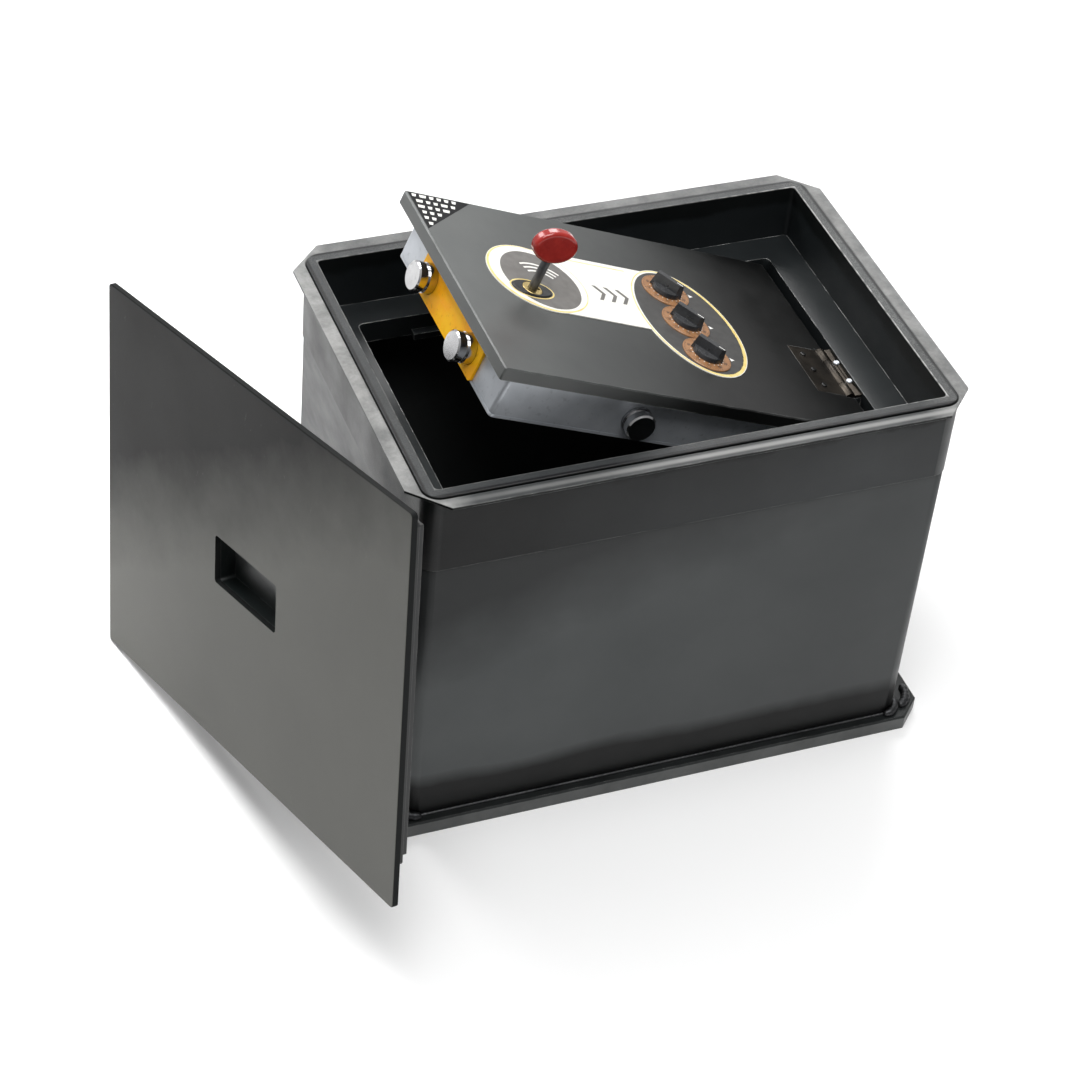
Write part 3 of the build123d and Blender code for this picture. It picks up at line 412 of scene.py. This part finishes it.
# The collar's paint: its flank is darker than the body's paint and near black at the left, a
# painted shade; its pale far, right and left edges are partly rubbing and partly painted
# highlight, and the pale line along the near flange is a painted highlight
COLLAR = rubbed_paint(
    "collar_paint_look", side=(0.026, 0.028, 0.029), top=(0.030, 0.032, 0.033),
    rubbed_and_lit=(0.40, 0.40, 0.39), base=0.05, far=0.36, right=0.52, left=0.68, rough=0.38,
    grain_size=0.00004, streaky=0.15, gloss=0.22, dim=0.15, flange_highlight=True)

# Metals
PLATED = metal(
    "plated_steel_look", (0.50, 0.53, 0.57), (0.62, 0.65, 0.69), rough=0.34,
    stretch=(1.0, 8.0, 1.0), shine=0.55)
YELLOW = metal(
    "yellow_zinc_look", (1.0, 0.40, 0.008), (1.0, 0.60, 0.012), rough=0.38,
    stretch=(1.0, 4.0, 1.0), scale=220.0, scratch=0.7, shine=0.05, gloss=0.2)
CHROME = metal(
    "bolt_steel_look", (0.52, 0.52, 0.53), (0.74, 0.74, 0.74), rough=0.14,
    stretch=(9.0, 1.0, 1.0), scale=500.0, scratch=0.35)
BROWN = metal(
    "hinge_steel_look", (0.030, 0.027, 0.024), (0.095, 0.082, 0.068), rough=0.40,
    scale=400.0, scratch=0.8)
BRASS = metal(
    "lock_brass_look", (0.56, 0.42, 0.17), (0.70, 0.55, 0.25), rough=0.30,
    stretch=(1.0, 1.0, 6.0), scale=350.0)
STEEL = metal(
    "key_steel_look", (0.09, 0.09, 0.095), (0.19, 0.19, 0.195), rough=0.34,
    stretch=(1.0, 1.0, 7.0), scale=420.0)
DARK_STEEL = metal(
    "dark_steel_look", (0.045, 0.045, 0.047), (0.10, 0.10, 0.10), rough=0.36)
WELD = metal(
    "weld_look", (0.030, 0.031, 0.033), (0.075, 0.076, 0.078), rough=0.42,
    scale=600.0, scratch=1.0, bump=0.00012)

# Films, inks and plastics
FILM = plastic(
    "label_film_look", (0.76, 0.75, 0.69), (0.86, 0.85, 0.80), rough=0.38, coat=0.2)
GREY_INK = plastic(
    "grey_ink_look", (0.115, 0.108, 0.10), (0.145, 0.138, 0.128), rough=0.38, coat=0.2)
FIELD_INK = plastic(
    "field_ink_look", (0.040, 0.039, 0.038), (0.055, 0.054, 0.052), rough=0.38, coat=0.1)
GOLD_INK = plastic(
    "gold_ink_look", (0.72, 0.53, 0.15), (0.84, 0.68, 0.27), rough=0.34, coat=0.3)
WHITE_INK = plastic("white_ink_look", (0.78, 0.77, 0.72), (0.88, 0.87, 0.83), rough=0.38)
BLACK_FILM = plastic(
    "black_film_look", (0.004, 0.004, 0.005), (0.009, 0.009, 0.010), rough=0.40, gloss=0.12)
ORANGE = plastic(
    "dial_orange_look", (0.28, 0.13, 0.05), (0.36, 0.18, 0.08), rough=0.36, coat=0.2)
DARK_INK = plastic("dark_ink_look", (0.025, 0.02, 0.018), (0.05, 0.04, 0.035), rough=0.4)
KNOB = plastic(
    "knob_plastic_look", (0.016, 0.017, 0.019), (0.032, 0.033, 0.036), rough=0.24,
    grain=900.0, depth=0.00003, coat=0.3)
RED = plastic(
    "key_plastic_look", (0.27, 0.012, 0.009), (0.38, 0.020, 0.014), rough=0.20,
    grain=500.0, depth=0.00001, coat=0.4)

# The look of each material slot, and of the pieces that have a look of their own
LOOKS = {
    "body_paint": BODY, "rim_paint": RIM, "door_paint": DOOR, "cover_paint": COVER,
    "plated_steel": PLATED, "yellow_zinc": YELLOW, "bolt_steel": CHROME,
    "hinge_steel": BROWN, "lock_brass": BRASS, "label_film": FILM, "dial_orange": ORANGE,
    "knob_plastic": KNOB, "key_plastic": RED, "key_steel": STEEL,
}
OWN_LOOKS = {
    "collar_flange": COLLAR, "base_plate": FOOT, "finger_cup": CUP,
    "cover_strip": COVER_BACK, "cover_frame": COVER_BACK,
    "door_seat": NECK, "door_stops": NECK, "hinge_bracket": NECK,
    "keyhole_escutcheon": DARK_STEEL, "hinge_door_screws": DARK_STEEL,
}

# Widths of the softened edges, in mm
SOFT_EDGE = {
    "base_plate": 0.8, "body_walls": 0.5, "collar_flange": 0.3, "neck_frame": 0.3,
    "door_seat": 0.5, "door_stops": 0.3, "door_plate": 0.25, "lock_case": 0.5,
    "back_cover": 0.5, "guide_plate": 0.35, "key_shank": 0.15,
    "cover_frame": 0.6, "cover_strip": 0.4, "finger_cup": 0.4,
    "hinge_moving_leaf": 0.3, "hinge_fixed_leaf": 0.3, "hinge_bracket": 0.3,
    "combination_knob_1": 0.45, "combination_knob_2": 0.45, "combination_knob_3": 0.45,
}


def soften(piece, width):
    """Rounds a piece's sharp edges a little."""
    weld = piece.modifiers.new("weld", "WELD")
    weld.merge_threshold = 0.000002
    bevel = piece.modifiers.new("soft_edges", "BEVEL")
    bevel.width = width * MM
    bevel.segments = 2
    bevel.limit_method = "ANGLE"
    bevel.angle_limit = math.radians(40.0)
    bevel.harden_normals = True


slots = {entry["node"]: entry["material_slot"] for entry in frame["record"]["subparts"]}
for name, piece in frame["nodes"].items():
    look = OWN_LOOKS.get(name, LOOKS[slots[name]])
    piece.data.materials.clear()
    piece.data.materials.append(look)
    if name in SOFT_EDGE:
        soften(piece, SOFT_EDGE[name])


# Making pieces, with their points in mm
def finish_piece(name, mesh, look, body, matrix=None):
    """Puts a mesh in the scene, on a body and in a material slot."""
    if matrix:
        mesh.transform(matrix)
    piece = bpy.data.objects.new(name, mesh)
    bpy.context.scene.collection.objects.link(piece)
    mesh.materials.clear()
    mesh.materials.append(look)
    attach(piece, body)
    return piece


def curve_mesh(name, curve, height, matrix=None):
    """A mesh from a curve or from text, moved by the matrix and then up to a height."""
    holder = bpy.data.objects.new(name + "_curve", curve)
    bpy.context.scene.collection.objects.link(holder)
    bpy.context.view_layer.update()
    graph = bpy.context.evaluated_depsgraph_get()
    mesh = bpy.data.meshes.new_from_object(holder.evaluated_get(graph))
    bpy.data.objects.remove(holder)
    if matrix:
        mesh.transform(matrix)
    mesh.transform(Matrix.Translation((0, 0, height * MM)))
    return mesh


def flat_mesh(name, loops, low, high):
    """A thin plate from closed outlines; an outline inside another is a hole."""
    curve = bpy.data.curves.new(name, "CURVE")
    curve.dimensions = "2D"
    curve.fill_mode = "BOTH"
    curve.extrude = (high - low) / 2 * MM
    for points in loops:
        spline = curve.splines.new("POLY")
        spline.points.add(len(points) - 1)
        for target, point in zip(spline.points, points):
            target.co = (point[0] * MM, point[1] * MM, 0.0, 1.0)
        spline.use_cyclic_u = True
    return curve_mesh(name, curve, (low + high) / 2)


def around(cx, cy, rx, ry, degrees):
    """A point on an oval."""
    angle = math.radians(degrees)
    return (cx + rx * math.cos(angle), cy + ry * math.sin(angle))


def oval(cx, cy, rx, ry, count=96):
    return [around(cx, cy, rx, ry, 360.0 * k / count) for k in range(count)]


def arc_band(cx, cy, inner, outer, start, end, count=32):
    """A curved strip between two radii."""
    turns = [start + (end - start) * k / count for k in range(count + 1)]
    rim = [around(cx, cy, outer, outer, turn) for turn in turns]
    return rim + [around(cx, cy, inner, inner, turn) for turn in reversed(turns)]


def join(name, meshes):
    """One mesh from several."""
    bm = bmesh.new()
    for mesh in meshes:
        bm.from_mesh(mesh)
    result = bpy.data.meshes.new(name)
    bm.to_mesh(result)
    bm.free()
    return result


# Print on the face label, sunk a little in the film and a little proud of it
INK_LOW = FILM_TOP - 0.02
INK_TOP = FILM_TOP + 0.08

# Half sizes of the print's holes at the dials and at the key
BORE = 3.6
KEY_HOLE = (15.0, 9.0)

# The arcs' inner radii, and the sides of the rule
ARC_RADII = (14.0, 18.0, 22.0)
RULE_X = (-48.0, 4.0)
RULE_Y = (45.4, 46.2)


def ink(name, loops, look, lift=0.0):
    mesh = flat_mesh(name, loops, INK_LOW, INK_TOP + lift)
    finish_piece(name, mesh, look, "door", ON_DOOR)


# The oval field round the dials, with a gold line that is thicker at the right
dial_bores = [oval(x, y, BORE, BORE, count=32) for x, y in DIALS]
ink("dial_field", [oval(33.0, -4.0, 35.2, 55.2)] + dial_bores, FIELD_INK)
ink("dial_field_line", [oval(33.0, -4.0, 37.5, 57.5), oval(32.2, -3.4, 35.7, 55.8)], GOLD_INK)

# The round field at the key, with its line, the keyhole's line and three arcs
ink("key_field", [oval(-74.0, 14.0, 28.0, 31.0), oval(*KEY, *KEY_HOLE, count=64)], GREY_INK)
ink("key_field_line", [oval(-76.0, 15.0, 35.6, 35.6), oval(-75.3, 15.5, 34.5, 34.5)], GOLD_INK)
keyhole_line = [oval(*KEY, KEY_HOLE[0] + gap, KEY_HOLE[1] + gap, count=64) for gap in (1.3, 0.3)]
ink("keyhole_line", keyhole_line, GOLD_INK, 0.04)
arcs = [arc_band(KEY[0] + 12.0, KEY[1] + 8.0, r, r + 1.6, 40.0, 115.0) for r in ARC_RADII]
ink("key_field_arcs", arcs, WHITE_INK, 0.05)

# Chevrons and a rule on the band, and an index mark at each dial
chevron = ((0.0, 4.0), (5.0, 12.0), (0.0, 20.0), (3.0, 20.0), (8.0, 12.0), (3.0, 4.0))
chevrons = [[(left + x, y) for x, y in chevron] for left in (-33.0, -24.0, -15.0)]
ink("band_chevrons", chevrons, GREY_INK)
rule = [(RULE_X[0], RULE_Y[0]), (RULE_X[1], RULE_Y[0]),
        (RULE_X[1], RULE_Y[1]), (RULE_X[0], RULE_Y[1])]
ink("band_rule", [rule], GOLD_INK)
for number, (x, y) in enumerate(DIALS, start=1):
    mark = [(x + 19.0, y - 1.7), (x + 22.4, y), (x + 19.0, y + 1.7)]
    ink("dial_index_%d" % number, [mark], WHITE_INK, 0.03)

# Plain corner patch on the door, with rows of small marks
PATCH_X, PATCH_Y = -142.2, 93.4
MARK_ROWS, ROW_STEP, ROW_SHORTER = 6, 6.4, 6.6
SHORT_MARK, LONG_MARK, MARK_HIGH, MARK_GAP = 3.4, 5.2, 3.2, 2.2
corner = [(PATCH_X, PATCH_Y), (-96.0, PATCH_Y), (PATCH_X, 52.0)]
patch = flat_mesh("corner_patch", [corner], DOOR_TOP - 0.02, DOOR_TOP + 0.12)
finish_piece("corner_patch", patch, BLACK_FILM, "door", ON_DOOR)
marks = []
for row in range(MARK_ROWS):
    reach = 39.0 - ROW_SHORTER * row
    start = 1.2 + 0.9 * (row % 2)
    while start < reach - 3.0:
        size = SHORT_MARK if (int(start) + row) % 3 else LONG_MARK
        x, y = PATCH_X + 1.0 + start, PATCH_Y - 1.2 - ROW_STEP * row
        foot = y - MARK_HIGH
        marks.append([(x, y), (x + size, y), (x + size - 1.3, foot), (x - 0.5, foot)])
        start += size + MARK_GAP
patch_lines = flat_mesh("corner_patch_lines", marks, DOOR_TOP + 0.10, DOOR_TOP + 0.17)
finish_piece("corner_patch_lines", patch_lines, WHITE_INK, "door", ON_DOOR)

# Ticks, numbers and pale marks on the dial rings
TICKS = 50
NUMBERS = 10
PALE_MARKS = 20
TICK_OUTER = 16.7
LONG_TICK, SHORT_TICK = (15.4, 0.22), (15.9, 0.14)
NUMBER_RADIUS, NUMBER_SIZE, NUMBER_DEPTH = 13.3, 3.3, 0.035
PRINT_LOW, PRINT_TOP = RING_TOP - 0.02, RING_TOP + 0.05


def dial_print(number, x, y):
    """Ticks and numbers, the numbers' feet towards the knob."""
    ticks = []
    for k in range(TICKS):
        inner, half = LONG_TICK if k % 5 == 0 else SHORT_TICK
        turn = math.radians(360.0 / TICKS * k)
        c, s = math.cos(turn), math.sin(turn)
        ticks.append([
            (x + reach * c + side * s, y + reach * s - side * c)
            for reach, side in ((inner, half), (TICK_OUTER, half),
                                (TICK_OUTER, -half), (inner, -half))])
    meshes = [flat_mesh("ticks", ticks, PRINT_LOW, PRINT_TOP)]
    for k in range(NUMBERS):
        label = bpy.data.curves.new("digits", "FONT")
        label.body = str(k * 10)
        label.size = NUMBER_SIZE * MM
        label.align_x = "CENTER"
        label.align_y = "CENTER"
        label.extrude = NUMBER_DEPTH * MM
        degrees = 360.0 / NUMBERS * k
        px, py = around(x, y, NUMBER_RADIUS, NUMBER_RADIUS, degrees)
        upright = Matrix.Rotation(math.radians(degrees) - math.pi / 2, 4, "Z")
        spot = Matrix.Translation((px * MM, py * MM, 0)) @ upright
        meshes.append(curve_mesh("digits", label, RING_TOP + 0.015, spot))
    mesh = join("dial_print_%d" % number, meshes)
    finish_piece("dial_print_%d" % number, mesh, DARK_INK, "door", ON_DOOR)


def dial_marks(number, x, y):
    """Pale dots close round the knob, in and out by turns."""
    dots = []
    for k in range(PALE_MARKS):
        radius = 11.35 + 0.25 * (k % 2)
        px, py = around(x, y, radius, radius, 360.0 / PALE_MARKS * k)
        dots.append(oval(px, py, 0.42, 0.42, count=10))
    mesh = flat_mesh("dial_marks_%d" % number, dots, PRINT_LOW, PRINT_TOP)
    finish_piece("dial_marks_%d" % number, mesh, WHITE_INK, "door", ON_DOOR)


for number, (x, y) in enumerate(DIALS, start=1):
    dial_print(number, x, y)
    dial_marks(number, x, y)

# White line along each knob's grip
GRIP_TURN = math.radians(-48.0)
GRIP_LINE = ((4.2, -0.35), (8.9, -0.35), (8.9, 0.35), (4.2, 0.35))
c, s = math.cos(GRIP_TURN), math.sin(GRIP_TURN)
for number, (x, y) in enumerate(DIALS, start=1):
    line = [(x + u * c - v * s, y + u * s + v * c) for u, v in GRIP_LINE]
    mesh = flat_mesh("knob_line_%d" % number, [line], KNOB_TOP - 0.05, KNOB_TOP + 0.03)
    finish_piece("knob_line_%d" % number, mesh, WHITE_INK, "knob_%d" % number,
                 ON_DOOR)

# Weld beads
BEAD_SIDES = 8
BEAD_UNEVEN = 0.08


def bead(name, path, radius, seed, ripple=0.16, closed=False):
    """A rippled bead of weld along a path of points, thinner at open ends."""
    rng = random.Random(seed)
    bm = bmesh.new()
    count = len(path)
    rings = []
    for k, point in enumerate(path):
        before = Vector(path[(k - 1) % count] if closed or k else path[k])
        after = Vector(path[(k + 1) % count] if closed or k < count - 1 else path[k])
        along = (after - before).normalized()
        up = Vector((0, 0, 1)) if abs(along.z) < 0.9 else Vector((1, 0, 0))
        side = along.cross(up).normalized()
        top = side.cross(along).normalized()
        fade = 1.0 if closed else min(1.0, 0.45 + 0.35 * min(k, count - 1 - k))
        swell = ripple * (1 if k % 2 else -1)
        r = radius * fade * (1.0 + swell + rng.uniform(-BEAD_UNEVEN, BEAD_UNEVEN))
        ring = []
        for j in range(BEAD_SIDES):
            a = 2 * math.pi * j / BEAD_SIDES
            spot = Vector(point) + side * r * math.cos(a) + top * r * math.sin(a)
            ring.append(bm.verts.new(spot * MM))
        rings.append(ring)
    for k in range(count if closed else count - 1):
        one, two = rings[k], rings[(k + 1) % count]
        for j in range(BEAD_SIDES):
            after = (j + 1) % BEAD_SIDES
            bm.faces.new((one[j], one[after], two[after], two[j]))
    if not closed:
        bm.faces.new(list(reversed(rings[0])))
        bm.faces.new(rings[-1])
    bmesh.ops.recalc_face_normals(bm, faces=bm.faces)
    mesh = bpy.data.meshes.new(name)
    bm.to_mesh(mesh)
    bm.free()
    for face in mesh.polygons:
        face.use_smooth = True
    piece = finish_piece(name, mesh, WELD, "safe_box")
    smooth = piece.modifiers.new("smooth", "SUBSURF")
    smooth.levels = 1
    smooth.render_levels = 1


def rounded_path(hx, hy, corner, z, step):
    """Points round a rounded rectangle at one height."""
    centres = ((hx - corner, hy - corner), (-hx + corner, hy - corner),
               (-hx + corner, -hy + corner), (hx - corner, -hy + corner))
    outline = []
    for quarter, (cx, cy) in enumerate(centres):
        for k in range(7):
            x, y = around(cx, cy, corner, corner, 90 * quarter + 15 * k)
            outline.append(Vector((x, y, z)))
    outline.append(outline[0])
    points = []
    for one, two in zip(outline, outline[1:]):
        parts = max(1, round((two - one).length / step))
        points.extend(tuple(one.lerp(two, k / parts)) for k in range(parts))
    return points


def arc_path(centre, radii, start, end, z, steps):
    """Points along a part of an oval at one height."""
    turns = [start + (end - start) * k / steps for k in range(steps + 1)]
    return [(*around(*centre, *radii, turn), z) for turn in turns]


# Welds round the foot, at the four corners and at the end of the foot
foot_path = rounded_path(180.3, 127.3, corner=9.3, z=11.2, step=1.6)
bead("foot_weld", foot_path, radius=1.5, seed=3, closed=True)
corner_path = arc_path((171.0, 118.0), (11.0, 11.0), start=-8, end=98, z=13.0, steps=12)
for number, (sx, sy) in enumerate(((1, -1), (-1, -1), (1, 1), (-1, 1)), start=1):
    bead("corner_weld_%d" % number, [(sx * x, sy * y, z) for x, y, z in corner_path],
         radius=3.2, seed=10 + number, ripple=0.12)
end_path = arc_path((181.0, -109.0), (13.5, 15.0), start=-80, end=15, z=12.0, steps=14)
bead("foot_end_weld", end_path, radius=3.4, seed=21, ripple=0.22)

# Weld tacks between the hinge bracket and the lip
TACK_X, TACK_Z, TACK_STEP = 145.6, 230.9, 0.9
for number, y in enumerate((-55.0, -9.0), start=1):
    tack_path = [(TACK_X + TACK_STEP * k, y, TACK_Z) for k in range(3)]
    bead("hinge_tack_%d" % number, tack_path, radius=1.0,
         seed=30 + number)

# Camera
camera_data = bpy.data.cameras.new("camera")
camera = bpy.data.objects.new("camera", camera_data)
bpy.context.scene.collection.objects.link(camera)
camera.location = (-0.657972, -1.348195, 1.417041)
camera.rotation_euler = Euler((0.847043, -0.076864, -0.358223), "XYZ")
camera_data.sensor_width = 36.0
camera_data.lens = 96.801
camera_data.clip_end = 50.0
bpy.context.scene.camera = camera
bpy.context.scene.view_settings.view_transform = "Standard"

# Floor
FLOOR_HALF = 12
FLOOR_COLOUR = (0.98, 0.98, 0.98, 1)
FLOOR_ROUGH = 0.7
floor_mesh = bpy.data.meshes.new("floor")
floor_mesh.from_pydata([(-FLOOR_HALF, -FLOOR_HALF, 0), (FLOOR_HALF, -FLOOR_HALF, 0),
                        (FLOOR_HALF, FLOOR_HALF, 0), (-FLOOR_HALF, FLOOR_HALF, 0)],
                       [], [(0, 1, 2, 3)])
floor = bpy.data.objects.new("floor", floor_mesh)
bpy.context.scene.collection.objects.link(floor)
floor_look = bpy.data.materials.new("floor_look")
floor_look.use_nodes = True
floor_shader = floor_look.node_tree.nodes["Principled BSDF"]
floor_shader.inputs["Base Color"].default_value = FLOOR_COLOUR
floor_shader.inputs["Roughness"].default_value = FLOOR_ROUGH
floor_mesh.materials.append(floor_look)

# The sky is bright high up behind the safe and dim towards the camera
SKY_BRIGHT_SIDE = (-0.10, 0.72, 0.69)
SKY_FADE = {"From Min": -0.60, "From Max": 0.90, "To Min": 0.10, "To Max": 0.70}
world = bpy.data.worlds.new("sky")
world.use_nodes = True
sky = world.node_tree
place = sky.nodes.new("ShaderNodeTexCoord")
towards = sky.nodes.new("ShaderNodeVectorMath")
towards.operation = "DOT_PRODUCT"
towards.inputs[1].default_value = SKY_BRIGHT_SIDE
fade = sky.nodes.new("ShaderNodeMapRange")
for socket, value in SKY_FADE.items():
    fade.inputs[socket].default_value = value
sky.links.new(place.outputs["Generated"], towards.inputs[0])
sky.links.new(towards.outputs["Value"], fade.inputs["Value"])
sky.links.new(fade.outputs["Result"], sky.nodes["Background"].inputs["Strength"])
sky.nodes["Background"].inputs["Color"].default_value = (1, 1, 1, 1)
bpy.context.scene.world = world


# Lights, with places and sizes in metres and power in watts
def area_light(name, place, target, size, power, spread=180.0):
    data = bpy.data.lights.new(name, "AREA")
    data.shape = "RECTANGLE"
    data.size, data.size_y = size
    data.energy = power
    data.spread = math.radians(spread)
    lamp = bpy.data.objects.new(name, data)
    bpy.context.scene.collection.objects.link(lamp)
    lamp.location = place
    aim = Vector(target) - Vector(place)
    lamp.rotation_euler = aim.to_track_quat("-Z", "Y").to_euler()


area_light("key_light", place=(-0.8, 1.45, 1.75), target=(0, 0, 0.1),
           size=(0.9, 0.8), power=17.0)
area_light("back_light", place=(0.62, 1.12, 1.20), target=(0.05, 0.15, 0.25),
           size=(0.6, 0.45), power=6.0)
area_light("left_light", place=(-0.62, 0.60, 1.5), target=(-0.48, 0.36, 0),
           size=(0.5, 0.5), power=1.2, spread=45.0)
area_light("top_light", place=(-0.1, -0.6, 2.2), target=(0, -0.15, 0.1),
           size=(1.5, 1.3), power=36.0)
